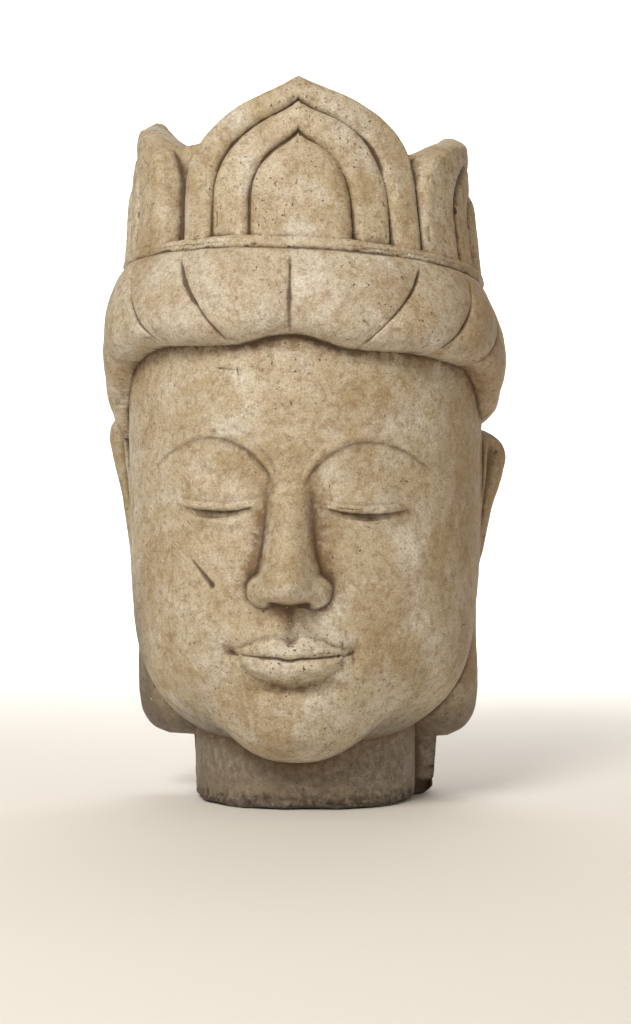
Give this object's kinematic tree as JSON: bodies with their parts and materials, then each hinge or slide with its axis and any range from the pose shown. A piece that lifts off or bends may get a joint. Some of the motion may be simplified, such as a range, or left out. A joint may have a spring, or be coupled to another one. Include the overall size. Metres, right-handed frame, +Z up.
{
  "type": "carved marble head of a crowned buddha",
  "caption": "Head of a crowned bodhisattva carved from one block of weathered cream marble, with a petalled crown, rolled hair and long ears, standing on its cut neck.",
  "frame": {"origin": "On the plane the cut neck stands on, under the middle of the head's bounding box.", "axes": "+Z up through the crown, -Y the way the face looks, +X the head's own left side, which is on the viewer's right."},
  "size_m": [0.2479, 0.2556, 0.4],
  "materials": {
    "marble": "honed and weathered, dull"
  },
  "bodies": {
    "root": {"buddha_head": "marble"}
  },
  "joints": []
}
